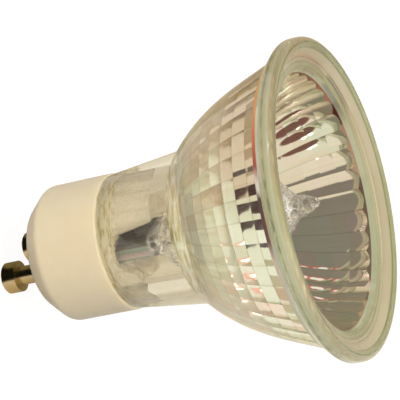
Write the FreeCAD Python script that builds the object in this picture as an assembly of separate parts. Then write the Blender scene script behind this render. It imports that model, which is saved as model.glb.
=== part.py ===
import FreeCAD, Part
import math
import os

# A halogen spotlight bulb with a two-pin bayonet cap, in millimetres.
# The lamp's axis is Z, its light leaves along +Z, and its pins point along -Z.
# The origin is the middle of the cap's end face, and the two pins lie on the X axis.

# Ceramic cap
cap_radius = 10.9
cap_height = 13.55
cap_wall = 1.7
cap_floor = 3.4
cap_bevel_width = 2.65
cap_bevel_height = 3.0
cap_bevel_rounding = 1.6
cap_end_rounding = 0.8
cap_mouth_rounding = 0.25
cap_inside_rounding = 0.8

# Contact pins
pin_spacing = 10.0
pin_head_radius = 2.48
pin_head_length = 2.5
pin_head_bevel = 0.35
pin_neck_radius = 1.5
pin_neck_length = 3.7
pin_shank_radius = 1.2
pin_hole_clearance = 0.05
pin_swage_radius = 2.0
pin_swage_height = 0.5
pin_bore_radius = 0.5
pin_bore_end_wall = 2.2

# Glass reflector: spigot, neck and bowl
spigot_clearance = 0.1
spigot_length = 5.0
neck_bore_radius = 6.4
neck_step_in = 0.2
neck_length = 12.85
neck_flare = 1.5
bowl_depth = 19.1
bowl_wall = 2.8
bowl_back_pull_r = 6.6
bowl_back_pull_z = 6.35
bowl_front_pull_r = 2.6
bowl_front_pull_z = 6.35

# Glass reflector: rim and the ledge inside it
rim_depth = 4.05
rim_back_width = 0.3
rim_bevel_height = 1.9
rim_bevel_rounding = 0.6
rim_crest_rounding = 0.9
rim_crest_width = 1.25
rim_slope_width = 1.6
rim_inner_rounding = 0.4
ledge_width = 2.15
ledge_drop = 1.45
ledge_fall = 0.5

# Glass reflector: mirror facets, an ellipse cut into flutes and rows, and the plain band above them
mirror_radius = 20.0
mirror_vertex_rise = 1.6
mirror_vertex_curve = 17.1
mirror_floor_radius = 8.4
facet_columns = 36
facet_inner_rows = 7
facet_rim_row_height = 4.0
facet_turn_deg = 7.4
flute_depth = 0.15
band_height = 0.9
band_flare = 0.28

# Quartz capsule
seal_sink = 2.55
seal_length = 10.8
seal_width = 8.6
seal_thickness = 2.8
seal_rounding = 0.6
shoulder_length = 3.4
tube_radius = 5.25
tube_wall = 1.05
tube_length = 14.3
tube_rounding = 1.6
dome_height = 3.2
dome_rounding = 1.9
tip_radius = 1.75
tip_waist_radius = 1.65
tip_waist_height = 1.0
tip_length = 3.6
tip_end_radius = 0.6
tip_end_rounding = 0.5

# Foils, leads and filament
lead_offset = 2.2
foil_margin = 2.5
foil_length = 6.0
foil_width = 1.8
foil_thickness = 0.08
outer_lead_radius = 0.3
outer_lead_bend = 1.5
outer_lead_run = 0.6
inner_lead_radius = 0.25
inner_lead_bend = 0.8
filament_rise = 3.8
filament_length = 8.4
filament_turns = 14
filament_radius = 0.6
filament_wire_radius = 0.1
filament_tail = 1.0

# Cement round the capsule's seal
cement_lift = 0.5
cement_rise = 4.65
trough_depth = 4.8
trough_gap = 0.3
trough_slope = 0.55
trough_turn_deg = -15.0
heap_rise = 3.8
heap_slope = 0.15

# Heights of the faces where the pieces meet
neck_top = cap_height + neck_length
rim_back = neck_top + bowl_depth
rim_crest = rim_back + rim_depth
ledge_top = rim_crest - ledge_drop
mirror_top = ledge_top - ledge_fall
mirror_vertex = neck_top + mirror_vertex_rise
spigot_bottom = cap_height - spigot_length
seal_bottom = cap_height - seal_sink
shoulder_bottom = seal_bottom + seal_length
tube_bottom = shoulder_bottom + shoulder_length
tube_top = tube_bottom + tube_length
dome_top = tube_top + dome_height
foil_bottom = seal_bottom + foil_margin
foil_top = foil_bottom + foil_length
filament_bottom = tube_bottom + filament_rise
filament_top = filament_bottom + filament_length
pin_end = -pin_neck_length - pin_head_length
pin_bore_end = pin_end + pin_bore_end_wall

# Radii that follow from the walls and clearances
cap_mouth_radius = cap_radius - cap_wall
spigot_radius = cap_mouth_radius - spigot_clearance
neck_bottom_radius = cap_radius - neck_step_in
neck_top_radius = neck_bottom_radius + neck_flare
pin_offset = pin_spacing / 2
bowl_radius = mirror_radius + bowl_wall
ledge_radius = mirror_radius + ledge_width
crest_radius = ledge_radius + rim_slope_width
rim_radius = crest_radius + rim_crest_width

# The mirror's ellipse as r² = mirror_p s - mirror_q s², with s measured up from its vertex
mirror_height = mirror_top - mirror_vertex
mirror_p = 2 * mirror_vertex_curve
mirror_q = (mirror_p * mirror_height - mirror_radius ** 2) / mirror_height ** 2
mirror_semi_z = mirror_p / (2 * mirror_q)
mirror_semi_r = mirror_p / (2 * math.sqrt(mirror_q))

axis_z = FreeCAD.Vector(0, 0, 1)


def at(r, z):
    """A point of an outline, in the half plane that is turned about the axis."""
    return FreeCAD.Vector(r, 0, z)


def chain(corners):
    """Edges along (point, rounding) corners: straight runs, with an arc at each rounded corner."""
    edges = []
    start = corners[0][0]
    for before, corner, after in zip(corners, corners[1:], corners[2:]):
        point, rounding = corner
        if rounding == 0:
            edges.append(Part.makeLine(start, point))
            start = point
            continue
        back = (before[0] - point).normalize()
        ahead = (after[0] - point).normalize()
        half_angle = back.getAngle(ahead) / 2
        reach = rounding / math.tan(half_angle)
        middle = (back + ahead).normalize() * (rounding / math.sin(half_angle) - rounding)
        arc_start = point + back * reach
        arc_end = point + ahead * reach
        edges.append(Part.makeLine(start, arc_start))
        edges.append(Part.Arc(arc_start, point + middle, arc_end).toShape())
        start = arc_end
    edges.append(Part.makeLine(start, corners[-1][0]))
    return edges


def turned(edges):
    """The solid made by turning a closed outline about the Z axis."""
    face = Part.Face(Part.Wire(edges))
    return face.revolve(FreeCAD.Vector(0, 0, 0), axis_z, 360)


def turned_corners(corners):
    """The solid turned from (radius, height, rounding) corners; the first one stays sharp."""
    points = [(at(r, z), rounding) for r, z, rounding in corners]
    return turned(chain(points + points[:1]))


def bent_wire(points, radius, bend):
    """A round wire along straight runs joined by tangent arcs."""
    ends = (points[0], points[-1])
    path = chain([(point, 0 if point in ends else bend) for point in points])
    section = Part.makeCircle(radius, points[0], points[1] - points[0])
    return Part.Wire(path).makePipeShell([Part.Wire(section)], True, False)


def ceramic_base():
    cup = turned_corners([
        (0, 0, 0),
        (cap_radius - cap_bevel_width, 0, cap_end_rounding),
        (cap_radius, cap_bevel_height, cap_bevel_rounding),
        (cap_radius, cap_height, cap_mouth_rounding),
        (cap_mouth_radius, cap_height, 0),
        (cap_mouth_radius, cap_floor, cap_inside_rounding),
        (0, cap_floor, 0),
    ])
    hole = Part.makeCylinder(pin_shank_radius + pin_hole_clearance, cap_floor)
    for side in (1, -1):
        cup = cup.cut(hole.translated(FreeCAD.Vector(side * pin_offset, 0, 0)))
    return cup


def contact_pin(side):
    """A headed pin, its neck seated on the cap's end face and its shank swaged over inside."""
    swage_top = cap_floor + pin_swage_height
    pin = turned_corners([
        (0, pin_end, 0),
        (pin_head_radius - pin_head_bevel, pin_end, 0),
        (pin_head_radius, pin_end + pin_head_bevel, 0),
        (pin_head_radius, -pin_neck_length, 0),
        (pin_neck_radius, -pin_neck_length, 0),
        (pin_neck_radius, 0, 0),
        (pin_shank_radius, 0, 0),
        (pin_shank_radius, cap_floor, 0),
        (pin_swage_radius, cap_floor, 0),
        (pin_swage_radius, swage_top, 0),
        (pin_bore_radius, swage_top, 0),
        (pin_bore_radius, pin_bore_end, 0),
        (0, pin_bore_end, 0),
    ])
    return pin.translated(FreeCAD.Vector(side * pin_offset, 0, 0))


def bowl_outside():
    """The bowl's outer curve, from the top of the neck to the back of the rim."""
    bowl = Part.BezierCurve()
    bowl.setPoles([
        at(neck_top_radius, neck_top),
        at(neck_top_radius + bowl_back_pull_r, neck_top + bowl_back_pull_z),
        at(bowl_radius - bowl_front_pull_r, rim_back - bowl_front_pull_z),
        at(bowl_radius, rim_back),
    ])
    return bowl.toShape()


def mirror_place(angle):
    """Radius and height of the mirror's ellipse at an angle from its vertex."""
    return mirror_semi_r * math.sin(angle), mirror_vertex + mirror_semi_z * (1 - math.cos(angle))


def facet_sections():
    """Radius and height of each edge between two rows of facets, the last one clear above the ledge."""
    first = math.asin(mirror_floor_radius / mirror_semi_r)
    last = math.acos(1 - (mirror_height - facet_rim_row_height) / mirror_semi_z)
    step = (last - first) / facet_inner_rows
    sections = [mirror_place(first + step * row) for row in range(facet_inner_rows + 1)]
    r_below, z_below = sections[-1]
    lean = (mirror_radius - r_below) / (mirror_top - z_below)
    over = ledge_drop / 2
    sections.append((mirror_radius + lean * over, mirror_top + over))
    return sections


def fluted_ring(radius, height):
    """One level section of the mirror: a ring of equal arcs that bulge outwards."""
    pitch = 2 * math.pi / facet_columns
    ridge = radius * (1 - flute_depth / mirror_radius)
    turn = math.radians(facet_turn_deg)
    arcs = []
    for column in range(facet_columns):
        angles = [turn + pitch * (column + part) for part in (0, 0.5, 1)]
        radii = (ridge, radius, ridge)
        points = [FreeCAD.Vector(r * math.cos(a), r * math.sin(a), height) for r, a in zip(radii, angles)]
        arcs.append(Part.Arc(*points).toShape())
    return Part.Wire(arcs)


def mirror_band():
    """The plain flared cone above the flutes, which ends each of them in an arch."""
    r_below, z_below = facet_sections()[-2]
    lean = (mirror_radius - r_below) / (mirror_top - z_below)
    flare = lean + band_flare
    foot_r = mirror_radius - lean * band_height
    foot_z = mirror_top - band_height
    below = 2 * flute_depth / band_flare
    above = band_height + ledge_drop / 2
    low_r = foot_r - flare * below
    high_r = foot_r + flare * above
    return Part.makeCone(low_r, high_r, below + above, at(0, foot_z - below))


def reflector():
    """The pressed glass: turned outside, plain bore, and a faceted bowl cut out of the front."""
    slope = ledge_fall / ledge_width
    outside = chain([
        (at(neck_bore_radius, spigot_bottom), 0),
        (at(spigot_radius, spigot_bottom), 0),
        (at(spigot_radius, cap_height), 0),
        (at(neck_bottom_radius, cap_height), 0),
        (at(neck_top_radius, neck_top), 0),
    ])
    rim = chain([
        (at(bowl_radius, rim_back), 0),
        (at(bowl_radius + rim_back_width, rim_back), 0),
        (at(rim_radius, rim_back + rim_bevel_height), rim_bevel_rounding),
        (at(rim_radius, rim_crest), rim_crest_rounding),
        (at(crest_radius, rim_crest), rim_inner_rounding),
        (at(ledge_radius, ledge_top), 0),
        (at(neck_bore_radius, ledge_top - slope * (ledge_radius - neck_bore_radius)), 0),
        (at(neck_bore_radius, spigot_bottom), 0),
    ])
    body = turned(outside + [bowl_outside()] + rim)
    rings = [fluted_ring(r, z) for r, z in facet_sections()]
    mirror = Part.makeLoft(rings, True, True)
    return body.cut(mirror).cut(mirror_band())


def capsule_outside():
    bulb = turned_corners([
        (0, shoulder_bottom, 0),
        (seal_thickness / 2, shoulder_bottom, 0),
        (tube_radius, tube_bottom, tube_rounding),
        (tube_radius, tube_top, dome_rounding),
        (tip_radius, dome_top, 0),
        (tip_waist_radius, dome_top + tip_waist_height, 0),
        (tip_end_radius, dome_top + tip_length, tip_end_rounding),
        (0, dome_top + tip_length, 0),
    ])
    seal = Part.makeBox(seal_width, seal_thickness, seal_length + shoulder_length / 2)
    seal.translate(FreeCAD.Vector(-seal_width / 2, -seal_thickness / 2, seal_bottom))
    upright = [edge for edge in seal.Edges if abs(edge.tangentAt(edge.FirstParameter).z) > 0.9]
    return bulb.fuse(seal.makeFillet(seal_rounding, upright)).removeSplitter()


def capsule_inside():
    inner_radius = tube_radius - tube_wall
    return turned_corners([
        (0, shoulder_bottom + shoulder_length / 2 + tube_wall, 0),
        (inner_radius, tube_bottom + tube_wall, tube_rounding),
        (inner_radius, tube_top, tube_rounding),
        (0, dome_top - tube_wall, 0),
    ])


def seal_foil(side):
    foil = Part.makeBox(foil_width, foil_thickness, foil_length)
    corner = FreeCAD.Vector(side * lead_offset - foil_width / 2, -foil_thickness / 2, foil_bottom)
    return foil.translated(corner)


def outer_lead(side):
    """From the foil's lower end, out of the seal and across the cap's hollow, into the pin's bore."""
    near = side * lead_offset
    far = side * pin_offset
    return bent_wire([
        FreeCAD.Vector(near, 0, foil_bottom),
        FreeCAD.Vector(near, 0, spigot_bottom - outer_lead_run),
        FreeCAD.Vector(far, 0, cap_floor + pin_swage_height + outer_lead_run),
        FreeCAD.Vector(far, 0, pin_bore_end),
    ], outer_lead_radius, outer_lead_bend)


def filament():
    """The coil on the lamp's axis, with a straight tail at each end."""
    pitch = filament_length / filament_turns
    coil_path = Part.makeHelix(pitch, filament_length, filament_radius)
    along = FreeCAD.Vector(0, 2 * math.pi * filament_radius, pitch)
    section = Part.makeCircle(filament_wire_radius, at(filament_radius, 0), along)
    coil = coil_path.makePipeShell([Part.Wire(section)], True, True)
    coil.translate(at(0, filament_bottom))
    ends = []
    tail_bottom = filament_bottom - filament_tail
    for coil_end, tail_start in ((filament_bottom, tail_bottom), (filament_top, filament_top)):
        ends.append(Part.makeSphere(filament_wire_radius, at(filament_radius, coil_end)))
        ends.append(Part.makeCylinder(filament_wire_radius, filament_tail, at(filament_radius, tail_start)))
    return coil.multiFuse(ends)


def inner_lead(side, arm_height):
    """From the foil's upper end into the capsule, then across to one tail of the filament."""
    arm_end = filament_radius - side * 2 * inner_lead_radius
    lead = bent_wire([
        FreeCAD.Vector(side * lead_offset, 0, foil_top),
        FreeCAD.Vector(side * lead_offset, 0, arm_height),
        FreeCAD.Vector(arm_end, 0, arm_height),
    ], inner_lead_radius, inner_lead_bend)
    return lead.cut(filament_shape)


def capsule():
    """The quartz envelope, pressed tight round the foils and the ends of the leads."""
    quartz = capsule_outside().cut(capsule_inside())
    for sealed in sealed_pieces:
        quartz = quartz.cut(sealed)
    return quartz


def capsule_cement():
    """Cement cast between the neck's bore and the seal, heaped beside it, higher on the -Y side."""
    bottom = spigot_bottom + cement_lift
    top = cap_height + cement_rise
    heap_top = top + heap_rise
    trough_bottom = top - trough_depth
    fill = Part.makeCylinder(neck_bore_radius, heap_top - bottom, at(0, bottom))
    low = seal_thickness / 2 + trough_gap
    wide = low + trough_slope * trough_depth
    heap_side = low + heap_slope * (heap_top - trough_bottom)
    edge = -neck_bore_radius
    clear = 2 * neck_bore_radius
    trough = Part.makePolygon([
        FreeCAD.Vector(edge, -low, trough_bottom),
        FreeCAD.Vector(edge, low, trough_bottom),
        FreeCAD.Vector(edge, wide, top),
        FreeCAD.Vector(edge, clear, top),
        FreeCAD.Vector(edge, clear, heap_top),
        FreeCAD.Vector(edge, -heap_side, heap_top),
        FreeCAD.Vector(edge, -low, trough_bottom),
    ])
    space = Part.Face(trough).extrude(FreeCAD.Vector(2 * neck_bore_radius, 0, 0))
    space.rotate(FreeCAD.Vector(0, 0, 0), axis_z, trough_turn_deg)
    fill = fill.cut(space)
    fill = fill.cut(capsule_outside())
    for lead in (pieces["outer_lead_right"], pieces["outer_lead_left"]):
        fill = fill.cut(lead)
    return fill


filament_shape = filament()
pieces = {
    "ceramic_base": ceramic_base(),
    "contact_pin_right": contact_pin(1),
    "contact_pin_left": contact_pin(-1),
    "reflector": reflector(),
    "filament": filament_shape,
    "inner_lead_short": inner_lead(-1, filament_bottom - filament_tail),
    "inner_lead_long": inner_lead(1, filament_top + filament_tail),
    "seal_foil_right": seal_foil(1),
    "seal_foil_left": seal_foil(-1),
    "outer_lead_right": outer_lead(1),
    "outer_lead_left": outer_lead(-1),
}
sealed_names = [name for name in pieces if name.startswith(("inner_lead", "seal_foil", "outer_lead"))]
sealed_pieces = [pieces[name] for name in sealed_names]
pieces["capsule"] = capsule()
pieces["capsule_cement"] = capsule_cement()

os.makedirs("parts", exist_ok=True)
for name, shape in pieces.items():
    shape.exportStep(f"parts/{name}.step")
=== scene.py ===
import bpy
import math
from functools import partial
from mathutils import Matrix, Vector, noise


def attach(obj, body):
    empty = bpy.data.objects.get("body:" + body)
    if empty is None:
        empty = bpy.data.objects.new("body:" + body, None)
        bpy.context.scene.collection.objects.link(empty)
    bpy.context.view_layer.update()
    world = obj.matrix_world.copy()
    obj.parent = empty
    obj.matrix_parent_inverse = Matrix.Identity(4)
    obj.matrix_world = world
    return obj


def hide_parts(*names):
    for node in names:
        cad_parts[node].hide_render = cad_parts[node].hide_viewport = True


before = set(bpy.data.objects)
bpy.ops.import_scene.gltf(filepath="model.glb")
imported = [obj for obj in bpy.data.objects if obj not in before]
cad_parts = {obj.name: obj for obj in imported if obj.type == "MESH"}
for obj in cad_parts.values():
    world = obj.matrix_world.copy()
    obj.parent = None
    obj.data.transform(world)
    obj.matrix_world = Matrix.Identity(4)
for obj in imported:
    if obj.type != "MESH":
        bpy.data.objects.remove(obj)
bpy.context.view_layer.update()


# Ceramic cap
# A cup of fired cream ceramic, dry pressed, with a bevelled end that carries the two pins.
# Its surface is matt with a faint grain. The foot of the glass neck is cemented into its mouth.

MM = 0.001
COLOUR_MIX = {"data_type": "RGBA"}
mottle_size = 3.5
pressed_grain_size = 0.35
pressed_grain_depth = 0.02
light_reach = 3.0


def linear(hex_colour):
    """A colour written as RRGGBB, turned to the linear values that sockets take."""
    channels = [int(hex_colour[i:i + 2], 16) / 255 for i in (0, 2, 4)]
    return [c / 12.92 if c <= 0.04045 else ((c + 0.055) / 1.055) ** 2.4 for c in channels] + [1.0]


def set_inputs(node, **inputs):
    """Sets inputs, by name or by in_ and number, to a value or RRGGBB colour, or links a node or socket."""
    for name, value in inputs.items():
        if name.startswith("in_"):
            socket = node.inputs[int(name[3:])]
        else:
            socket = next(s for s in node.inputs if s.enabled and s.name == name.replace("_", " "))
        if isinstance(value, bpy.types.Node):
            value = next(s for s in value.outputs if s.enabled)
        if isinstance(value, bpy.types.NodeSocket):
            node.id_data.links.new(value, socket)
        elif isinstance(value, str) and socket.type == "RGBA":
            socket.default_value = linear(value)
        else:
            socket.default_value = value


def add_node(tree, kind, settings=None, stops=(), **inputs):
    """Adds a node with its settings, or just its operation, the stops of its colour ramp and its inputs.
    A kind that doesn't say Node is a shader node."""
    node = tree.nodes.new(kind if "Node" in kind else "ShaderNode" + kind)
    if isinstance(settings, str):
        settings = {"operation": settings}
    for name, value in (settings or {}).items():
        setattr(node, name, value)
    for number, (position, colour) in enumerate(stops):
        elements = node.color_ramp.elements
        if number == 0:
            elements.remove(elements[1])
        element = elements.new(position) if number else elements[0]
        element.position = position
        element.color = linear(colour) if isinstance(colour, str) else (colour, colour, colour, 1)
    set_inputs(node, **inputs)
    return node


def new_material(name):
    """A material, what adds a node to it, its shader and the Object coordinates that its patterns follow."""
    material = bpy.data.materials.new(name)
    material.use_nodes = True
    add = partial(add_node, material.node_tree)
    place = add("TexCoord").outputs["Object"]
    return material, add, material.node_tree.nodes["Principled BSDF"], place


def finish_node(node_name, material):
    """Gives a CAD node its finish."""
    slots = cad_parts[node_name].data.materials
    slots.clear()
    slots.append(material)


# Fired ceramic: cream, matt, slightly mottled, with a fine pressed grain that softens the light.
ceramic, add, shader, place = new_material("fired_ceramic")
mottle = add("TexNoise", Vector=place, Scale=1 / (mottle_size * MM))
pressed = add("TexNoise", Vector=place, Scale=1 / (pressed_grain_size * MM), Detail=4.0)
cream = add("Mix", COLOUR_MIX, Factor=mottle, A="E6DAC2", B="DDD0B6")
dullness = add("MapRange", Value=pressed, To_Min=0.42, To_Max=0.6)
dents = add("Bump", Height=pressed, Distance=pressed_grain_depth * MM)
set_inputs(shader, Base_Color=cream, Roughness=dullness, Normal=dents, Subsurface_Weight=1.0,
           Subsurface_Scale=light_reach * MM, Subsurface_Radius=(1.0, 0.85, 0.6))
finish_node("ceramic_base", ceramic)


# Contact pins
# Two turned brass pins, nickel plated, riveted through the cup's floor; each has a wide head.
# The plating is bright, with fine rings left by the lathe.

lathe_ring_width = 0.12
lathe_ring_depth = 0.01
stain_size = 1.2

# Nickel plate: a warm bright metal with turned rings and faint stains.
nickel, add, shader, place = new_material("nickel_plate")
along = add("SeparateXYZ", Vector=place).outputs["Z"]
rings = add("TexNoise", {"noise_dimensions": "1D"}, W=along, Scale=1 / (lathe_ring_width * MM), Detail=3.0)
stains = add("TexNoise", Vector=place, Scale=1 / (stain_size * MM), Detail=3.0)
plate = add("Mix", COLOUR_MIX, Factor=stains, A="CDBF9F", B="B6A785")
dullness = add("MapRange", Value=rings, To_Min=0.12, To_Max=0.3)
grooves = add("Bump", Height=rings, Distance=lathe_ring_depth * MM)
set_inputs(shader, Base_Color=plate, Metallic=1.0, Roughness=dullness, Normal=grooves)
for name in ("contact_pin_right", "contact_pin_left"):
    finish_node(name, nickel)


# Glass reflector
# One piece of pressed soda glass, from spigot to rim, with a dichroic mirror coat on the facets inside.
# One slice of it, a flute wide, is drawn here and repeated all round by a node group.
# The coat ran over the back of the rim in a thin coloured fringe.

facet_columns = 36
facet_turn = math.radians(7.4)
flute_depth = 0.15
band_height = 0.9
band_flare = 0.28
band_coat_height = 0.22
mirror_radius = 20.0
mirror_vertex = 28.0
mirror_top = 47.6
mirror_vertex_curve = 17.1
mirror_floor_radius = 8.4
facet_inner_rows = 7
facet_rim_row_height = 4.0
facet_swell = 0.035
facet_lean = 0.035
facet_bow_front = 0.045
facet_bow_back = 0.06
seam_reach = 0.002
neck_bore_radius = 6.4
spigot_bottom = 8.55
spigot_radius = 9.1
spigot_gap = 0.04
spigot_rounding = 0.2
cap_height = 13.55
neck_bottom_radius = 10.7
neck_bottom_rounding = 0.25
neck_top_radius = 12.2
neck_top = 26.4
bowl_pull_low = (18.8, 32.75)
bowl_pull_high = (20.2, 39.15)
bowl_radius = 22.8
rim_back = 45.5
rim_back_width = 0.3
rim_radius = 25.0
rim_bevel_top = 47.4
rim_bevel_rounding = 0.6
rim_crest = 49.55
rim_crest_rounding = 0.9
crest_radius = 23.75
crest_rounding = 0.4
ledge_radius = 22.15
ledge_top = 48.1
ledge_rounding = 0.3
coat_bottom = 27.0
fringe_share = 0.55
slice_steps = 10
row_steps = 4
bowl_steps = 30
# Zones of the slice: the rows of facets count up from 0 at the rim, and the other zones stay clear of them.
zone_glass = -1
zone_rim = -2
zone_fringe = -3
zone_bowl = -4
zone_band = 20


def rounded_outline(corners, arc_steps=6, guard=0.12):
    """Points along (r, z, rounding) corners, with an arc at each rounded one and a point beside each arc."""
    points = [Vector(corners[0][:2])]
    for before, corner, after in zip(corners, corners[1:], corners[2:]):
        point = Vector(corner[:2])
        rounding = corner[2]
        back = (Vector(before[:2]) - point).normalized()
        ahead = (Vector(after[:2]) - point).normalized()
        if rounding == 0:
            points.append(point)
            continue
        half_angle = back.angle(ahead) / 2
        reach = rounding / math.tan(half_angle)
        centre = point + (back + ahead).normalized() * rounding / math.sin(half_angle)
        first = point + back * reach - centre
        last = point + ahead * reach - centre
        sweep = first.angle_signed(last)
        points.append(centre + first + back * guard)
        for step in range(arc_steps + 1):
            points.append(centre + Matrix.Rotation(-sweep * step / arc_steps, 2) @ first)
        points.append(centre + last + ahead * guard)
    points.append(Vector(corners[-1][:2]))
    return points


def bowl_outline():
    """Points along the cubic curve of the bowl's outside, from the neck to the back of the rim."""
    points = []
    for step in range(bowl_steps + 1):
        t = step / bowl_steps
        s = 1 - t
        points.append(Vector((neck_top_radius, neck_top)) * s ** 3 + Vector(bowl_pull_low) * 3 * s * s * t
                      + Vector(bowl_pull_high) * 3 * s * t * t + Vector((bowl_radius, rim_back)) * t ** 3)
    return points


def facet_edges():
    """Radius and height of each edge between two rows of facets, from the bowl's floor up to the ledge."""
    height = mirror_top - mirror_vertex
    p = 2 * mirror_vertex_curve
    q = (p * height - mirror_radius ** 2) / height ** 2
    semi_z = p / (2 * q)
    semi_r = p / (2 * math.sqrt(q))
    first = math.asin(mirror_floor_radius / semi_r)
    last = math.acos(1 - (height - facet_rim_row_height) / semi_z)
    edges = []
    for row in range(facet_inner_rows + 1):
        angle = first + (last - first) * row / facet_inner_rows
        edges.append((semi_r * math.sin(angle), mirror_vertex + semi_z * (1 - math.cos(angle))))
    return edges + [(mirror_radius, mirror_top)]


def flute_factor(part):
    """The mirror's radius across one flute, from ridge to ridge, as a share of that in the flute's middle."""
    half = math.pi / facet_columns
    ridge = 1 - flute_depth / mirror_radius
    chord_x = ridge * math.cos(half)
    chord_y = ridge * math.sin(half)
    sagitta = 1 - chord_x
    arc_radius = (chord_y ** 2 + sagitta ** 2) / (2 * sagitta)
    centre = 1 - arc_radius
    angle = (part - 0.5) * 2 * half
    along = centre * math.cos(angle)
    return along + math.sqrt(arc_radius ** 2 - (centre * math.sin(angle)) ** 2)


def reflector_slice():
    """One flute's width of the glass, as rings of points, zone after the ring, sharp or not, and place."""
    angles = [2 * math.pi / facet_columns * step / slice_steps for step in range(slice_steps + 1)]
    factors = [flute_factor(step / slice_steps) for step in range(slice_steps + 1)]
    rings = []

    def plain_rings(points, zone, sharp_start, places=None):
        for number, p in enumerate(points):
            ring = [(p.x * math.cos(a), p.x * math.sin(a), p.y) for a in angles]
            place = places[number] if places else max(zone, 0)
            rings.append((ring, zone, sharp_start and number == 0, place))

    neck = rounded_outline([
        (neck_bore_radius, spigot_bottom + spigot_gap, 0),
        (spigot_radius - spigot_gap, spigot_bottom + spigot_gap, spigot_rounding),
        (spigot_radius - spigot_gap, cap_height + spigot_gap, spigot_rounding),
        (neck_bottom_radius, cap_height + spigot_gap, neck_bottom_rounding),
        (neck_top_radius, neck_top, 0),
    ])
    rim = rounded_outline([
        (bowl_radius + rim_back_width, rim_back, 0),
        (rim_radius, rim_bevel_top, rim_bevel_rounding),
        (rim_radius, rim_crest, rim_crest_rounding),
        (crest_radius, rim_crest, crest_rounding),
        (ledge_radius, ledge_top, ledge_rounding),
        (mirror_radius, mirror_top, 0),
    ])
    plain_rings(neck[:1], zone_glass, True)
    plain_rings(neck[1:-1], zone_glass, False)
    plain_rings(bowl_outline()[:-1], zone_bowl, True)
    plain_rings([Vector((bowl_radius, rim_back))], zone_fringe, True)
    plain_rings(rim[:1], zone_fringe, True)
    rim_rings = [rim[0].lerp(rim[1], fringe_share)] + rim[1:-1]
    rim_places = [0.0]
    for before, after in zip(rim_rings, rim_rings[1:] + rim[-1:]):
        rim_places.append(rim_places[-1] + (after - before).length)
    plain_rings(rim_rings, zone_rim, False, [place / rim_places[-1] for place in rim_places])

    edges = facet_edges()
    (r_below, z_below), (r_above, z_above) = edges[-2:]
    lean = (r_above - r_below) / (z_above - z_below)
    flare = lean + band_flare
    foot_r = mirror_radius - lean * band_height
    foot_z = mirror_top - band_height
    slope = (ledge_top - mirror_top) / (ledge_radius - mirror_radius)
    edge_z = (ledge_top - slope * (ledge_radius - foot_r + flare * foot_z)) / (1 - slope * flare)
    edge_r = foot_r + flare * (edge_z - foot_z)
    arch = []
    for k in factors:
        z = (foot_r - flare * foot_z - k * r_below + k * lean * z_below) / (k * lean - flare)
        arch.append((foot_r + flare * (z - foot_z), z))
    coat_top = max(z for r, z in arch) + band_coat_height
    plain_rings([Vector((edge_r, edge_z))], zone_rim, True)
    plain_rings([Vector((foot_r + flare * (coat_top - foot_z), coat_top))], zone_band, False)
    rows = list(reversed(list(zip(edges, edges[1:]))))
    for number, (low, high) in enumerate(rows):
        for step in range(row_steps):
            t = step / row_steps
            swell = facet_swell * 4 * t * (1 - t)
            ring = []
            for a, k, top in zip(angles, factors, arch):
                top_r, top_z = top if number == 0 else (high[0] * k, high[1])
                r = top_r + (low[0] * k - top_r) * t + swell
                z = top_z + (low[1] - top_z) * t
                ring.append((r * math.cos(a), r * math.sin(a), z))
            rings.append((ring, number, step == 0, number + t))
    floor_r, floor_z = edges[0]
    spokes = [(floor_r * k, a) for a, k in zip(angles, factors)]
    floor_edge = [(r * math.cos(a), r * math.sin(a), floor_z) for r, a in spokes]
    rings.append((floor_edge, len(rows), True, len(rows)))
    plain_rings([Vector((neck_bore_radius, floor_z))], len(rows) + 1, True)
    plain_rings([Vector((neck_bore_radius, coat_bottom))], zone_glass, True)
    return rings


def slice_mesh(rings):
    """The slice's mesh, with its creases marked sharp and each face's zone kept on it."""
    across = len(rings[0][0])
    points = []
    faces = []
    zones = []
    places = []
    for i, (ring, zone, sharp, place) in enumerate(rings):
        points.extend([c * MM for c in point] for point in ring)
        places.extend([float(place)] * across)
        zones.extend([float(zone)] * (across - 1))
        j = (i + 1) % len(rings)
        for a in range(across - 1):
            faces.append((i * across + a, i * across + a + 1, j * across + a + 1, j * across + a))
    mesh = bpy.data.meshes.new("reflector_slice")
    mesh.from_pydata(points, [], faces, shade_flat=False)
    marks = []
    for edge in mesh.edges:
        ring_a, side_a = divmod(edge.vertices[0], across)
        ring_b, side_b = divmod(edge.vertices[1], across)
        on_crease = ring_a == ring_b and rings[ring_a][2]
        on_ridge = side_a == side_b and side_a in (0, across - 1)
        marks.append(on_crease or (on_ridge and 0 <= rings[min(ring_a, ring_b)][1] < zone_band))
    for name, kind, domain, values in (("facet_row", "FLOAT", "FACE", zones),
                                       ("row_place", "FLOAT", "POINT", places),
                                       ("sharp_edge", "BOOLEAN", "EDGE", marks)):
        mesh.attributes.new(name, kind, domain).data.foreach_set("value", values)
    return mesh


# Pressed glass: clear with slow waves, and cloudy with lines where it is thick, at foot and bend; at the bend
# the golden lines are painted glints.
glass_index = 1.5
wave_size = 5.0
wave_depth = 0.05
drawn_line_size = 0.4
drawn_out = (0.2, 0.2, 1.0)
thick_side = (0.42, 0.91, 0.0)
thick_side_from = 1.0
thick_side_full = -2.0


def drawn_and_glint_lines(add, place, size, low, high):
    """Thin level lines: drawn out when the hot glass was pressed at the neck's foot, painted golden glints at
    the bowl's bend and on the coat behind it.
    """
    stretched = add("Mapping", Vector=place, Scale=drawn_out)
    lines = add("TexNoise", Vector=stretched, Scale=1 / (size * MM))
    return add("MapRange", Value=lines, From_Min=low, From_Max=high)


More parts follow.
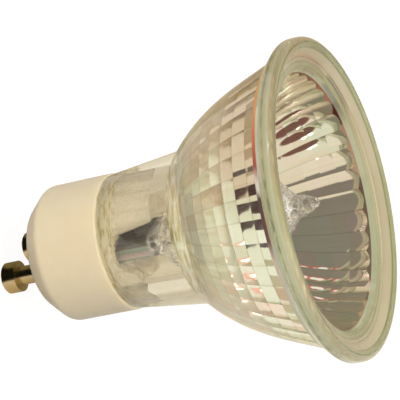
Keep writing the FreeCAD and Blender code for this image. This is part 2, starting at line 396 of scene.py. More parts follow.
def pressed_glass(name, low, high, cloudy, clear, extra_on_thick_side=0.0):
    """Glass that is cloudy below height low and clear above high; one side may be cloudy further up.
    The cloudy part is a colour, its lines' colour and a clear share, the clear part a colour and a share."""
    material, add, shader, place = new_material(name)
    cloudy_colour, line_colour, cloudy_share = cloudy
    clear_colour, clear_share = clear
    height = add("SeparateXYZ", Vector=place).outputs["Z"]
    toward_side = add("VectorMath", "DOT_PRODUCT", in_0=place, in_1=thick_side)
    lift = add("MapRange", Value=toward_side, From_Min=thick_side_from * MM,
               From_Max=thick_side_full * MM, To_Min=0.0, To_Max=extra_on_thick_side * MM)
    height = add("Math", "SUBTRACT", in_0=height, in_1=lift)
    share = add("MapRange", Value=height, From_Min=low * MM, From_Max=high * MM)
    lines = drawn_and_glint_lines(add, place, drawn_line_size, 0.48, 0.62)
    thick = add("Mix", COLOUR_MIX, Factor=lines, A=cloudy_colour, B=line_colour)
    colour = add("Mix", COLOUR_MIX, Factor=share, A=thick, B=clear_colour)
    clearness = add("MapRange", Value=share, To_Min=cloudy_share, To_Max=clear_share)
    waves = add("TexNoise", Vector=place, Scale=1 / (wave_size * MM))
    waves = add("Bump", Height=waves, Distance=wave_depth * MM)
    set_inputs(shader, Base_Color=colour, Transmission_Weight=clearness, IOR=glass_index, Roughness=0.0,
               Normal=waves)
    return material


neck_glass = pressed_glass("neck_glass", cap_height + 1.0, cap_height + 1.8, ("E4DABA", "BAAC72", 0.6),
                           ("F2EFE4", 0.97), 2.0)
# At the bend the golden lines in the cloudy glass are painted glints.
bowl_glass = pressed_glass("bowl_glass", neck_top + 0.3, neck_top + 3.0, ("EEE7CA", "B4A464", 0.74),
                           ("F2EFDC", 0.97))

# Rim glass: the same glass, thick and fire polished, greener where it is thick. Across it the colour is
# painted in bands: pale lines are painted highlights, dark green lines along its edges are painted
# reflection, with beige between.
rim_wave_size = 9.0
rim_wave_depth = 0.02
rim_glass, add, shader, place = new_material("rim_glass")
along_rim = add("Attribute", {"attribute_name": "row_place"}).outputs["Fac"]
# Painted highlights and painted reflection: pale and dark green lines, set by the place across the rim.
rim_tint_and_painted_highlights = add("ValToRGB", Fac=along_rim, stops=(
    (0.0, "BCC298"), (0.08, "A6AE80"), (0.17, "B8BC92"), (0.2, "7C845A"), (0.23, "B4BA94"), (0.3, "CCD0B4"),
    (0.32, "C6C29E"), (0.4, "C0B892"), (0.43, "B8B28C"), (0.455, "8E9668"), (0.49, "BEC49A"),
    (0.55, "B4BC90"), (0.575, "86885E"), (0.6, "E8DCC8"), (0.7, "E8D6C2"), (0.755, "DACCB0"),
    (0.78, "86865C"), (0.8, "E4DCC4"), (0.9, "D6D0B4"), (0.96, "CCD2B8"), (1.0, "B9C4AE")))
waves = add("TexNoise", Vector=place, Scale=1 / (rim_wave_size * MM), Detail=1.0)
green_share = add("MapRange", Value=waves, To_Min=0.0, To_Max=0.25)
colour = add("Mix", COLOUR_MIX, Factor=green_share, A=rim_tint_and_painted_highlights, B="C0C8A2")
waves = add("Bump", Height=waves, Distance=rim_wave_depth * MM)
set_inputs(shader, Base_Color=colour, Transmission_Weight=0.55, IOR=glass_index, Roughness=0.15,
           Coat_Weight=1.0, Coat_Roughness=0.02, Normal=waves)

# Coat fringe: a thin film of the mirror coat, its colour painted round the rim as a painted reflection:
# orange to red, a painted white highlight, dark red, then pale.
fringe, add, shader, place = new_material("coat_fringe")
across = add("SeparateXYZ", Vector=place).outputs["Y"]
around = add("MapRange", Value=across, From_Min=-rim_radius * MM, From_Max=rim_radius * MM)
# Painted reflection and a painted highlight, set by the place round the rim.
fringe_painted_reflection = add("ValToRGB", Fac=around, stops=(
    (0.0, "F0B050"), (0.07, "F0A038"), (0.12, "E06A20"), (0.19, "B02A18"), (0.225, "F4ECE4"),
    (0.245, "F4ECE4"), (0.265, "3A1420"), (0.38, "6A1E22"), (0.44, "E8D0C4"), (0.6, "DCD4BE"),
    (1.0, "C8CCBC")))
set_inputs(shader, Base_Color=fringe_painted_reflection, Metallic=0.2, Roughness=0.4)


# Dichroic mirror coat: a bright cream mirror inside, each facet a little greener or pinker than the next.
# Its back, seen through the glass, is milkier, and painted darker beige on one side of the bowl to pale green
# on the other, a painted reflection.
# The facet's lines and streaks are drawn wider than real ones, so that they show.
edge_line_width = 0.05
row_line_width = 0.07
streak_stretch = (6.0, 0.25, 1.0)
low_line_size = 0.5
low_lines_from = 32.5
low_lines_full = 29.0
dense_rows = 2.0
thin_rows = 3.5
front_metal = 0.92
dense_back_metal = 0.97
thin_back_metal = 0.54
chance_in_back = 0.22


def near_edge(add, place, width, strength):
    """The strength at the edge between two facets, falling to nothing at a share of their width from it."""
    off_edge = add("Math", "PINGPONG", in_0=place, in_1=0.5)
    return add("MapRange", Value=off_edge, From_Min=0.0, From_Max=width, To_Min=strength, To_Max=0.0)


mirror_coat, add, shader, place = new_material("dichroic_coat")
parts = add("SeparateXYZ", Vector=place)
bearing = add("Math", "ARCTAN2", in_0=parts.outputs["Y"], in_1=parts.outputs["X"])
bearing = add("Math", "SUBTRACT", in_0=bearing, in_1=facet_turn)
column_place = add("Math", "MULTIPLY", in_0=bearing, in_1=facet_columns / (2 * math.pi))
column = add("Math", "FLOOR", in_0=column_place)
row = add("Attribute", {"attribute_name": "facet_row"}).outputs["Fac"]
row_place = add("Attribute", {"attribute_name": "row_place"}).outputs["Fac"]
facet = add("CombineXYZ", X=column, Y=row)
chance = add("TexWhiteNoise", {"noise_dimensions": "2D"}, Vector=facet)
column_edge = near_edge(add, column_place, edge_line_width, 0.3)

tints = add("ValToRGB", Fac=chance, stops=(
    (0.0, "E6EEDE"), (0.3, "F2EEDF"), (0.7, "EEE8D6"), (1.0, "F4E8E0")))
tiles = add("Mix", COLOUR_MIX, Factor=column_edge, A=tints, B="8C8060")
streaks = add("CombineXYZ", X=column_place, Y=row_place)
streaks = add("Mapping", Vector=streaks, Scale=streak_stretch)
streaks = add("TexNoise", Vector=streaks, Scale=1.0, Detail=3.0)
streaks = add("MapRange", Value=streaks, To_Min=0.0, To_Max=0.25)
tiles = add("Mix", COLOUR_MIX, Factor=streaks, A=tiles, B="BDB094")
around = add("MapRange", Value=parts.outputs["Y"], From_Min=-mirror_radius * MM, From_Max=mirror_radius * MM)
# Painted reflection: the band above the facets is red-brown on one side of the bowl and beige on the other.
band_coat = add("Mix", COLOUR_MIX, Factor=around, A="8A4438", B="D2BFA6")
on_band = add("Math", "GREATER_THAN", in_0=row, in_1=zone_band - 0.5)
front = add("Mix", COLOUR_MIX, Factor=on_band, A=tiles, B=band_coat)

# Painted reflection on the back: darker beige on one side of the bowl to pale green on the other, with a
# little random tint per facet.
reflection_and_tint_place = add("Mix", Factor=chance_in_back, A=around, B=chance)
back = add("ValToRGB", Fac=reflection_and_tint_place, stops=(
    (0.0, "CDB8A0"), (0.25, "DCCAB6"), (0.4, "EAEEDE"), (0.55, "F4F8F0"), (0.65, "FAE6DE"), (0.75, "F0F6EC"),
    (1.0, "F6EEE0")))
row_edge = near_edge(add, row_place, row_line_width, 0.35)
back = add("Mix", COLOUR_MIX, Factor=row_edge, A=back, B="A89C78")
back = add("Mix", COLOUR_MIX, Factor=column_edge, A=back, B="A09470")
# Painted glints: golden lines low on the coat's back, near the bend.
lines = drawn_and_glint_lines(add, place, low_line_size, 0.45, 0.6)
low_share = add("MapRange", Value=parts.outputs["Z"], From_Min=low_lines_from * MM,
                From_Max=low_lines_full * MM)
lines = add("Math", "MULTIPLY", in_0=lines, in_1=low_share)
back = add("Mix", COLOUR_MIX, Factor=lines, A=back, B="B8A45C")

surface = add("NewGeometry")
through_glass = surface.outputs["Backfacing"]
colour = add("Mix", COLOUR_MIX, Factor=through_glass, A=front, B=back)
back_metal = add("MapRange", Value=row_place, From_Min=dense_rows, From_Max=thin_rows,
                 To_Min=dense_back_metal, To_Max=thin_back_metal)
metal_share = add("Mix", Factor=through_glass, A=front_metal, B=back_metal)

# Each facet leans by chance and bows along its row, which steers what it mirrors.
lean = add("VectorMath", "SUBTRACT", in_0=chance.outputs["Color"], in_1=(0.5, 0.5, 0.5))
lean = add("VectorMath", "SCALE", in_0=lean, Scale=facet_lean)
along_facet = add("Math", "FRACT", in_0=row_place)
along_facet = add("MapRange", Value=along_facet, To_Min=-1.0, To_Max=1.0)
bow_depth = add("MapRange", Value=through_glass, To_Min=facet_bow_front, To_Max=facet_bow_back)
bow = add("Math", "MULTIPLY", in_0=along_facet, in_1=bow_depth)
bow = add("CombineXYZ", Z=bow)
steered = surface.outputs["Normal"]
for turn in (lean, bow):
    steered = add("VectorMath", "ADD", in_0=steered, in_1=turn)
steered = add("VectorMath", "NORMALIZE", in_0=steered)
set_inputs(shader, Base_Color=colour, Metallic=metal_share, Roughness=0.06, Normal=steered)


def reflector_tree():
    """The node group that repeats the slice about the axis, joins the seams and hands out glass and coat."""
    group = bpy.data.node_groups.new("flutes_all_round", "GeometryNodeTree")
    face = group.interface
    finishes = ("Glass", "Coat", "Rim", "Fringe", "Bowl")
    for name, kind in (("Slice", "Geometry"), ("Columns", "Int"), ("Turn", "Float"),
                       *((finish, "Material") for finish in finishes)):
        face.new_socket(name, in_out="INPUT", socket_type="NodeSocket" + kind)
    face.new_socket("Reflector", in_out="OUTPUT", socket_type="NodeSocketGeometry")
    add = partial(add_node, group)
    given = group.nodes.new("NodeGroupInput").outputs
    line = add("GeometryNodeMeshLine", Count=given["Columns"], Offset=(0.0, 0.0, 0.0))
    pitch = add("Math", "DIVIDE", in_0=2 * math.pi, in_1=given["Columns"])
    index = add("GeometryNodeInputIndex")
    turn = add("Math", "MULTIPLY_ADD", in_0=index, in_1=pitch, in_2=given["Turn"])
    about = add("CombineXYZ", Z=turn)
    rotation = add("FunctionNodeEulerToRotation", Euler=about)
    spread = add("GeometryNodeInstanceOnPoints", Points=line, Instance=given["Slice"], Rotation=rotation)
    real = add("GeometryNodeRealizeInstances", Geometry=spread)
    joined = add("GeometryNodeMergeByDistance", Geometry=real, Distance=seam_reach * MM)
    made = add("GeometryNodeSetMaterial", Geometry=joined, Material=given["Glass"])
    zone = add("GeometryNodeInputNamedAttribute", {"data_type": "FLOAT"}, Name="facet_row")
    for finish, lowest, highest in (("Coat", 0, zone_band), ("Rim", zone_rim, zone_rim),
                                    ("Fringe", zone_fringe, zone_fringe), ("Bowl", zone_bowl, zone_bowl)):
        over = add("FunctionNodeCompare", "GREATER_THAN", A=zone, B=lowest - 0.5)
        under = add("FunctionNodeCompare", "LESS_THAN", A=zone, B=highest + 0.5)
        inside = add("FunctionNodeBooleanMath", "AND", in_0=over, in_1=under)
        made = add("GeometryNodeSetMaterial", Geometry=made, Selection=inside, Material=given[finish])
    out = group.nodes.new("NodeGroupOutput")
    set_inputs(out, Reflector=made)
    return group


def in_scene(name, data):
    """An object in the scene that holds a mesh, a lamp or a camera."""
    piece = bpy.data.objects.new(name, data)
    bpy.context.scene.collection.objects.link(piece)
    return piece


def grown(name, mesh, group, settings):
    """The mesh that a node group makes from a start mesh, as a plain object."""
    source = in_scene(name + "_start", mesh)
    modifier = source.modifiers.new("grow", "NODES")
    modifier.node_group = group
    for item in group.interface.items_tree:
        if item.in_out == "INPUT" and item.name in settings:
            modifier[item.identifier] = settings[item.name]
    evaluated = source.evaluated_get(bpy.context.evaluated_depsgraph_get())
    made = bpy.data.meshes.new_from_object(evaluated)
    bpy.data.objects.remove(source)
    made.name = name
    return in_scene(name, made)


reflector = grown("glass_reflector", slice_mesh(reflector_slice()), reflector_tree(),
                  {"Columns": facet_columns, "Turn": facet_turn, "Glass": neck_glass, "Coat": mirror_coat,
                   "Rim": rim_glass, "Fringe": fringe, "Bowl": bowl_glass})
# Clear glass lets the lamps through to what is behind it.
reflector.visible_shadow = False
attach(reflector, "root")
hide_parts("reflector")


# Cement
# White powdery cement, pressed in wet round the capsule's seal and left rough when it set.
# It is heaped on both flat sides of the seal, higher on one of them, and lies low along its edges.

cement_bottom = 9.05
cement_top = 18.2
cement_radius = 6.42
seal_bottom = 11.0
seal_half_width = 4.3
seal_half_thickness = 1.4
seal_gap = 0.06
trough_low = 14.4
trough_half_width = 2.1
trough_slope = 0.6
trough_turn = math.radians(-15.0)
heap_top = 22.0
heap_half_width = 1.85
heap_slope = 0.15
edge_wander = 0.4
lump_height = 0.9
small_lump_height = 0.45
crumb_height = 0.2
cement_rings = 40
cement_spokes = 144
cloud_size = 2.2
pore_size = 0.45
pore_depth = 0.3


def cement_noise(x, y, draw, per_mm, height):
    """One random surface over the bore, with so many bumps to the millimetre and so high."""
    return noise.noise(Vector((x, y, draw)) * per_mm) * height


def cement_height(x, y):
    """The height of the cement's rough top over a point of the neck's bore."""
    if abs(x) < seal_half_width + seal_gap and abs(y) < seal_half_thickness + seal_gap:
        return seal_bottom
    across = y * math.cos(trough_turn) - x * math.sin(trough_turn)
    across += cement_noise(x, y, 1.0, 0.8, edge_wander)
    heap = min(trough_low + max(0.0, across - trough_half_width) / trough_slope, cement_top)
    if across < 0:
        heap = min(trough_low + max(0.0, -across - heap_half_width) / heap_slope, heap_top)
    lumps = cement_noise(x, y, 3.0, 0.55, lump_height) + cement_noise(x, y, 9.0, 1.7, small_lump_height)
    crumbs = cement_noise(x, y, 5.0, 4.5, crumb_height)
    return min(heap + lumps + crumbs, heap_top)


def cement_mesh():
    """The plug of cement: a flat round bottom, a rough top and the wall between their edges."""
    points = [(0, 0, cement_bottom), (0, 0, cement_height(0, 0))]
    for level in ("bottom", "top"):
        for ring in range(1, cement_rings + 1):
            for spoke in range(cement_spokes):
                angle = 2 * math.pi * spoke / cement_spokes
                r = cement_radius * ring / cement_rings
                x = r * math.cos(angle)
                y = r * math.sin(angle)
                points.append((x, y, cement_bottom if level == "bottom" else cement_height(x, y)))
    faces = []
    low = 2
    high = low + cement_rings * cement_spokes
    wall = (cement_rings - 1) * cement_spokes
    for spoke in range(cement_spokes):
        after = (spoke + 1) % cement_spokes
        faces.append((0, low + after, low + spoke))
        faces.append((1, high + spoke, high + after))
        for inner in range(0, wall, cement_spokes):
            outer = inner + cement_spokes
            ring = (inner + spoke, inner + after, outer + after, outer + spoke)
            faces.append(tuple(low + corner for corner in ring))
            faces.append(tuple(high + corner for corner in (ring[0], ring[3], ring[2], ring[1])))
        faces.append((low + wall + spoke, low + wall + after, high + wall + after, high + wall + spoke))
    mesh = bpy.data.meshes.new("set_cement")
    mesh.from_pydata([[c * MM for c in point] for point in points], [], faces, shade_flat=False)
    return mesh


def placed(name, mesh, material, node_name):
    """A piece that stands for a CAD node, in its place."""
    mesh.materials.append(material)
    piece = in_scene(name, mesh)
    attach(piece, "root")
    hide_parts(node_name)
    return piece


# Dry cement: chalky white with darker pores, no gloss at all.
cement, add, shader, place = new_material("dry_cement")
pores = add("TexNoise", Vector=place, Scale=1 / (pore_size * MM), Detail=5.0)
clouds = add("TexNoise", Vector=place, Scale=1 / (cloud_size * MM))
chalk = add("Mix", COLOUR_MIX, Factor=clouds, A="CAC7AE", B="D4C6B4")
pore_share = add("MapRange", Value=pores, To_Min=0.0, To_Max=0.35)
chalk = add("Mix", COLOUR_MIX, Factor=pore_share, A=chalk, B="B4A890")
pits = add("Bump", Height=pores, Distance=pore_depth * MM)
set_inputs(shader, Base_Color=chalk, Roughness=0.9, Specular_IOR_Level=0.2, Normal=pits)
placed("set_cement", cement_mesh(), cement, "capsule_cement")


# Foils and leads
# Two strips of thin molybdenum foil, pressed into the quartz so that the seal stays tight when it is hot.
# A drawn molybdenum wire is welded to each end: inner leads go up to the coil, outer leads down to the pins.

foil_band_width = 0.5
lead_grain_size = 0.3

# Molybdenum foil: dark bright metal, green to violet in bands where it was heated.
foil, add, shader, place = new_material("molybdenum_foil")
across = add("SeparateXYZ", Vector=place).outputs["X"]
bands = add("TexNoise", {"noise_dimensions": "1D"}, W=across, Scale=1 / (foil_band_width * MM), Detail=1.0)
heated = add("Mix", COLOUR_MIX, Factor=bands, A="3C5048", B="7A5068")
set_inputs(shader, Base_Color=heated, Metallic=1.0, Roughness=0.25)
for name in ("seal_foil_right", "seal_foil_left"):
    finish_node(name, foil)


def drawn_wire(name, first, second, grain_size, smoothest, roughest):
    """Drawn metal wire: grey, with a fine uneven shine left by the die."""
    material, add, shader, place = new_material(name)
    drawn = add("TexNoise", Vector=place, Scale=1 / (grain_size * MM), Detail=3.0)
    grey = add("Mix", COLOUR_MIX, Factor=drawn, A=first, B=second)
    dullness = add("MapRange", Value=drawn, To_Min=smoothest, To_Max=roughest)
    set_inputs(shader, Base_Color=grey, Metallic=1.0, Roughness=dullness)
    return material


# Drawn molybdenum: warm grey wire with a soft shine.
molybdenum = drawn_wire("drawn_molybdenum", "8E887E", "6F6A62", lead_grain_size, 0.25, 0.45)
for name in ("inner_lead_short", "inner_lead_long", "outer_lead_right", "outer_lead_left"):
    finish_node(name, molybdenum)


# Filament
# A coil of drawn tungsten wire, wound on a mandrel that is dissolved afterwards.
# It stands on the lamp's axis, with its two ends held by the inner leads.

coil_grain_size = 0.2

# Drawn tungsten: darker and duller than the leads.
tungsten = drawn_wire("drawn_tungsten", "5A5650", "77726A", coil_grain_size, 0.3, 0.5)
finish_node("filament", tungsten)


# Quartz capsule
# A blown quartz tube with a pinched flat seal below and a drawn-off exhaust tip on top.
# The glass worker's flame leaves it rippled, most of all at the pinch, the dome and the tip.

shoulder_bottom = 21.8
shoulder_lead = 0.6
seal_squareness = 8.0
round_squareness = 2.0
tube_bottom = 25.2
tube_radius = 5.25
tube_wall = 1.05
tube_top = 39.5
hollow_bottom = 24.55
hollow_rounding = 1.6
pole_radius = 0.02
dome_top = 42.7
dome_rounding = 1.9
dome_foot_rounding = 0.3
tip_radius = 1.75
tip_waist_radius = 1.65
tip_waist = 43.7
tip_waist_rounding = 0.8
tip_end = 46.3
tip_end_radius = 0.6
tip_end_rounding = 0.5
last_ring_radius = 0.05
last_ring_below_end = 0.02
pinch_height = 23.5
pinch_reach = 2.2
crown_height = 39.6
crown_sharpness = 2.5
tip_calm_from = 43.0
tip_calm_length = 3.5
tube_ripple = 0.015
pinch_ripple = 0.16
crown_ripple = 0.2
ripple_scale = 0.9
small_ripple_scale = 2.1
small_ripple_share = 0.5
small_ripple_shift = Vector((7, 3, 1))
quartz_spokes = 128
quartz_step = 0.22
quartz_index = 1.46
seal_colour_from = 20.8
seal_colour_full = 19.8
glint_line_size = 0.95
glint_line_bend = 0.7
glint_line_gap_size = 1.3
fine_ripple_size = 0.8
fine_ripple_depth = 0.4


def quartz_section(z):
    """Half width, half thickness and squareness of the seal and the shoulder at a height."""
    share = (z - shoulder_bottom + shoulder_lead) / (tube_bottom - shoulder_bottom + shoulder_lead)
    share = min(max(share, 0.0), 1.0)
    share = share * share * (3 - 2 * share)
    half_width = seal_half_width + (tube_radius - seal_half_width) * share
    half_thickness = seal_half_thickness + (tube_radius - seal_half_thickness) * share
    return half_width, half_thickness, seal_squareness + (round_squareness - seal_squareness) * share


def crown_radius(z):
    """Radius of the tube, the dome and the tip at a height."""
    outline = rounded_outline([
        (tube_radius, tube_bottom, 0),
        (tube_radius, tube_top, dome_rounding),
        (tip_radius, dome_top, dome_foot_rounding),
        (tip_waist_radius, tip_waist, tip_waist_rounding),
        (tip_end_radius, tip_end, tip_end_rounding),
        (0, tip_end, 0),
    ], guard=0.02)
    for low, high in zip(outline, outline[1:]):
        if low.y <= z <= high.y and high.y > low.y:
            return low.x + (high.x - low.x) * (z - low.y) / (high.y - low.y)
    return last_ring_radius


def ripple(point):
    """How far the flame-worked surface stands in or out at a point, in millimetres."""
    near_pinch = math.exp(-((point.z - pinch_height) / pinch_reach) ** 2)
    near_crown = 1 / (1 + math.exp(-(point.z - crown_height) * crown_sharpness))
    near_end = max(0.0, 1 - max(0.0, point.z - tip_calm_from) / tip_calm_length)
    depth = tube_ripple + pinch_ripple * near_pinch + crown_ripple * near_crown * near_end
    small = small_ripple_share * depth * noise.noise(point * small_ripple_scale + small_ripple_shift)
    return depth * noise.noise(point * ripple_scale) + small


def capsule_rings():
    """Rings of points up the outside of the capsule, and up its hollow."""
    turns = [2 * math.pi * spoke / quartz_spokes for spoke in range(quartz_spokes)]
    spokes = [(math.cos(turn), math.sin(turn)) for turn in turns]
    length = tip_end - last_ring_below_end - seal_bottom
    levels = int(length / quartz_step)
    outside = []
    for level in range(levels + 1):
        z = seal_bottom + length * level / levels
        half_width, half_thickness, squareness = quartz_section(z)
        if z > tube_bottom:
            half_width = half_thickness = crown_radius(z)
        ring = []
        for c, s in spokes:
            reach = abs(c / half_width) ** squareness + abs(s / half_thickness) ** squareness
            reach **= -1 / squareness
            reach += ripple(Vector((reach * c, reach * s, z)))
            ring.append((reach * c, reach * s, z))
        outside.append(ring)
    hollow = rounded_outline([
        (pole_radius, hollow_bottom, 0),
        (tube_radius - tube_wall, tube_bottom + tube_wall, hollow_rounding),
        (tube_radius - tube_wall, tube_top, hollow_rounding),
        (pole_radius, dome_top - tube_wall, 0),
    ], arc_steps=10)
    return outside, [[(p.x * c, p.x * s, p.y) for c, s in spokes] for p in hollow]


def capsule_mesh():
    """The capsule's outside and its hollow, closed at their ends, with a sharp edge round the seal's end."""
    points = []
    faces = []
    for stack, step in zip(capsule_rings(), (1, -1)):
        start = len(points)
        for ring in stack:
            points.extend(ring)
        for low in range(start, len(points) - quartz_spokes, quartz_spokes):
            for spoke in range(quartz_spokes):
                after = (spoke + 1) % quartz_spokes
                high = low + quartz_spokes
                faces.append((low + spoke, low + after, high + after, high + spoke)[::step])
        faces.append(tuple(range(start, start + quartz_spokes))[::-step])
        faces.append(tuple(range(len(points) - quartz_spokes, len(points)))[::step])
    mesh = bpy.data.meshes.new("quartz_capsule")
    mesh.from_pydata([[c * MM for c in point] for point in points], [], faces, shade_flat=False)
    at_end = [abs(vertex.co.z - seal_bottom * MM) < 1e-7 for vertex in mesh.vertices]
    sharp = [at_end[edge.vertices[0]] and at_end[edge.vertices[1]] for edge in mesh.edges]
    mesh.attributes.new("sharp_edge", "BOOLEAN", "EDGE").data.foreach_set("value", sharp)
    return mesh


# Blown quartz: water clear, with fine flame ripples where it was worked, and painted white glint lines there.
# The pinched seal is painted dark and layered: dark on one flat side as painted shade, then green and violet
# bands as a painted reflection of the foils in it.
quartz, add, shader, place = new_material("blown_quartz")
parts = add("SeparateXYZ", Vector=place)
height = parts.outputs["Z"]
up_capsule = add("MapRange", Value=height, From_Min=seal_bottom * MM, From_Max=tip_end * MM)
worked = add("ValToRGB", Fac=up_capsule, stops=(
    (0.0, 0.25), (0.3, 1.0), (0.42, 0.9), (0.46, 0.1), (0.78, 0.1), (0.83, 1.0), (0.89, 1.0), (0.93, 0.35),
    (1.0, 0.5)))
fine = add("TexNoise", Vector=place, Scale=1 / (fine_ripple_size * MM))
through_seal = add("MapRange", Value=parts.outputs["Y"], From_Min=-seal_half_thickness * MM,
                   From_Max=seal_half_thickness * MM)
# Painted shade and painted reflection: dark on one flat side of the seal, then green and violet bands for the
# foils seen through it.
painted_seal_layers = add("ValToRGB", Fac=through_seal, stops=(
    (0.0, "4A4236"), (0.22, "3A3228"), (0.32, "8A927A"), (0.45, "66826E"), (0.58, "A88E8C"), (0.75, "B8A8A0"),
    (0.88, "748C7C"), (1.0, "9A94A0")))
# Painted highlights: a net of white glint lines over the worked parts, where the quartz is less clear.
bent = add("VectorMath", "SCALE", in_0=fine.outputs["Color"], Scale=glint_line_bend * MM)
bent = add("VectorMath", "ADD", in_0=place, in_1=bent)
cells = add("TexVoronoi", {"feature": "DISTANCE_TO_EDGE"}, Vector=bent, Scale=1 / (glint_line_size * MM))
glint_line = add("MapRange", Value=cells.outputs["Distance"], From_Min=0.15, From_Max=0.02)
broken = add("TexNoise", Vector=place, Scale=1 / (glint_line_gap_size * MM))
broken = add("MapRange", Value=broken, From_Min=0.4, From_Max=0.6)
for share in (broken, worked):
    glint_line = add("Math", "MULTIPLY", in_0=glint_line, in_1=share)
in_seal = add("MapRange", Value=height, From_Min=seal_colour_from * MM, From_Max=seal_colour_full * MM)
colour = add("Mix", COLOUR_MIX, Factor=glint_line, A="F4F1EA", B="FFFFFF")
colour = add("Mix", COLOUR_MIX, Factor=in_seal, A=colour, B=painted_seal_layers)
clearness = add("MapRange", Value=glint_line, To_Min=1.0, To_Max=0.35)
clearness = add("Mix", Factor=in_seal, A=clearness, B=0.2)
ripples = add("Bump", Height=fine, Strength=worked, Distance=fine_ripple_depth * MM)
set_inputs(shader, Base_Color=colour, Transmission_Weight=clearness, IOR=quartz_index, Roughness=0.0,
           Normal=ripples)
capsule = placed("quartz_capsule", capsule_mesh(), quartz, "capsule")
# Clear quartz lets the lamps through to what is behind it, as the glass does.
capsule.visible_shadow = False


# Studio
# A pale floor under the pins, a soft white surround and one round soft lamp light the bulb.
# Plain cards, a dome and small lamps stand about it that only mirrors and glass see, never the eye.

camera_distance = 327.13
camera_height = math.radians(19.463)
camera_bearing = math.radians(-24.768)
camera_roll = math.radians(78.426)
camera_yaw = -0.05944
camera_pitch = -0.00018
camera_lens = 194.42
rim_plane = 47.795
floor_level = -6.2
floor_size = 6000.0
floor_glow = 0.9
bulb_middle = 30.0

up = Vector((0, 0, 1))
middle = up * bulb_middle
toward = Vector((math.cos(camera_bearing), math.sin(camera_bearing), 0))
sideways = up.cross(toward)

eye = toward * camera_distance * math.cos(camera_height)
eye += up * (camera_distance * math.sin(camera_height) + rim_plane)
ahead = (up * rim_plane - eye).normalized()
level = ahead.cross(up).normalized()
above = level.cross(ahead)
side = level * math.cos(camera_roll) + above * math.sin(camera_roll)
top = above * math.cos(camera_roll) - level * math.sin(camera_roll)
ahead = (ahead + side * camera_yaw + top * camera_pitch).normalized()
side = (side - ahead * side.dot(ahead)).normalized()
top = side.cross(ahead)

camera_data = bpy.data.cameras.new("camera")
camera_data.lens = camera_lens
camera_data.sensor_width = 36.0
camera_data.clip_start = 0.01
camera = in_scene("camera", camera_data)
camera.matrix_world = Matrix.Translation(eye * MM) @ Matrix((side, top, -ahead)).transposed().to_4x4()
bpy.context.scene.camera = camera


def stage_piece(name, points, faces):
    """A piece of the stage, and what adds a node to its own material, which is still empty."""
    mesh = bpy.data.meshes.new(name)
    mesh.from_pydata([point * MM for point in points], [], faces)
    piece = in_scene(name, mesh)
    material = bpy.data.materials.new(name)
    material.use_nodes = True
    material.node_tree.nodes.clear()
    mesh.materials.append(material)
    return piece, partial(add_node, material.node_tree)


def flat_points(centre, across, upward, width, height):
    """The four corners of a flat piece."""
    corners = ((-1, -1), (1, -1), (1, 1), (-1, 1))
    return [centre + across * x * width / 2 + upward * y * height / 2 for x, y in corners]


def seen_directly(add):
    """One for the eye, for mirrors and through glass, and nothing for the light that falls on the bulb."""
    rays = add("LightPath").outputs
    seen = rays["Is Camera Ray"]
    for kind in ("Is Glossy Ray", "Is Transmission Ray"):
        seen = add("Math", "MAXIMUM", in_0=seen, in_1=rays[kind])
    return seen


# Pale floor: matt, and lit up evenly wherever it is looked at, so that it goes over into the white surround.
floor_points = flat_points(up * floor_level, Vector((1, 0, 0)), Vector((0, 1, 0)), floor_size, floor_size)
add = stage_piece("floor", floor_points, [(0, 1, 2, 3)])[1]
glow = add("Math", "MULTIPLY", in_0=seen_directly(add), in_1=floor_glow)
glow = add("Emission", Color="FFFFFF", Strength=glow)
matt = add("BsdfDiffuse", Color=(0.18, 0.18, 0.18, 1))
both = add("AddShader", in_0=glow, in_1=matt)
add("OutputMaterial", Surface=both)


def glowing(name, points, faces, colour, strength=1.0, hidden_from=()):
    """A stage piece that glows, and is seen only in mirrors and through glass, or in one of the two."""
    piece, add = stage_piece(name, points, faces)
    light = add("Emission", Color=colour, Strength=strength)
    add("OutputMaterial", Surface=light)
    for rays in ("camera", "diffuse", "shadow") + hidden_from:
        setattr(piece, "visible_" + rays, False)
    place = add("TexCoord").outputs["Object"]
    return add, light, place


def card(name, centre, facing, width, height, colour, strength=1.0, hidden_from=(), across=None):
    """A flat glowing card."""
    facing = facing.normalized()
    across = across or facing.orthogonal().normalized()
    points = flat_points(centre, across, facing.cross(across), width, height)
    return glowing(name, points, [(0, 1, 2, 3)], colour, strength, hidden_from)


# The dome is bright on one side and grey on the other, with a dark spot and four bright red-edged ones.
dome_radius = 1000.0
dome_base = 54.0
dome_foot = floor_level + 0.5
dome_spokes = 48
dome_levels = 12
dome_closing = 0.999
dome_tilt = 0.35
dark_spot = (0.5, -0.8, 0.3)
dark_spot_size = 14.0
bright_spots = [(across, 0.97, 0.08) for across in (0.36, 0.18, 0.0, -0.18)]
red_edge_size = 7.5
bright_spot_size = 5.0
spot_core = 0.8
dome_points = []
dome_faces = []
for dome_level in range(dome_levels + 1):
    lift = math.pi / 2 * dome_level / dome_levels * dome_closing
    flat = dome_radius * math.cos(lift)
    height = dome_foot if dome_level == 0 else dome_base + dome_radius * math.sin(lift)
    low = dome_level * dome_spokes
    high = low + dome_spokes
    for spoke in range(dome_spokes):
        turn = 2 * math.pi * spoke / dome_spokes
        dome_points.append(Vector((flat * math.cos(turn), flat * math.sin(turn), height)))
        after = (spoke + 1) % dome_spokes
        if dome_level < dome_levels:
            dome_faces.append((low + spoke, high + spoke, high + after, low + after))
add, light, place = glowing("studio_dome", dome_points, dome_faces, "FFFFFF", hidden_from=("transmission",))
direction = add("VectorMath", "NORMALIZE", in_0=place)
dome_up = (top - side * dome_tilt).normalized()
upward = add("VectorMath", "DOT_PRODUCT", in_0=direction, in_1=dome_up)
share = add("MapRange", Value=upward, From_Min=-1.0, From_Max=1.0)
sky = add("ValToRGB", Fac=share, stops=(
    (0.0, "F4EDDC"), (0.37, "EDE4D0"), (0.39, "78726A"), (0.7, "7C756C"), (1.0, "7C756C")))
spots = [(dark_spot, dark_spot_size, "6E3A30")]
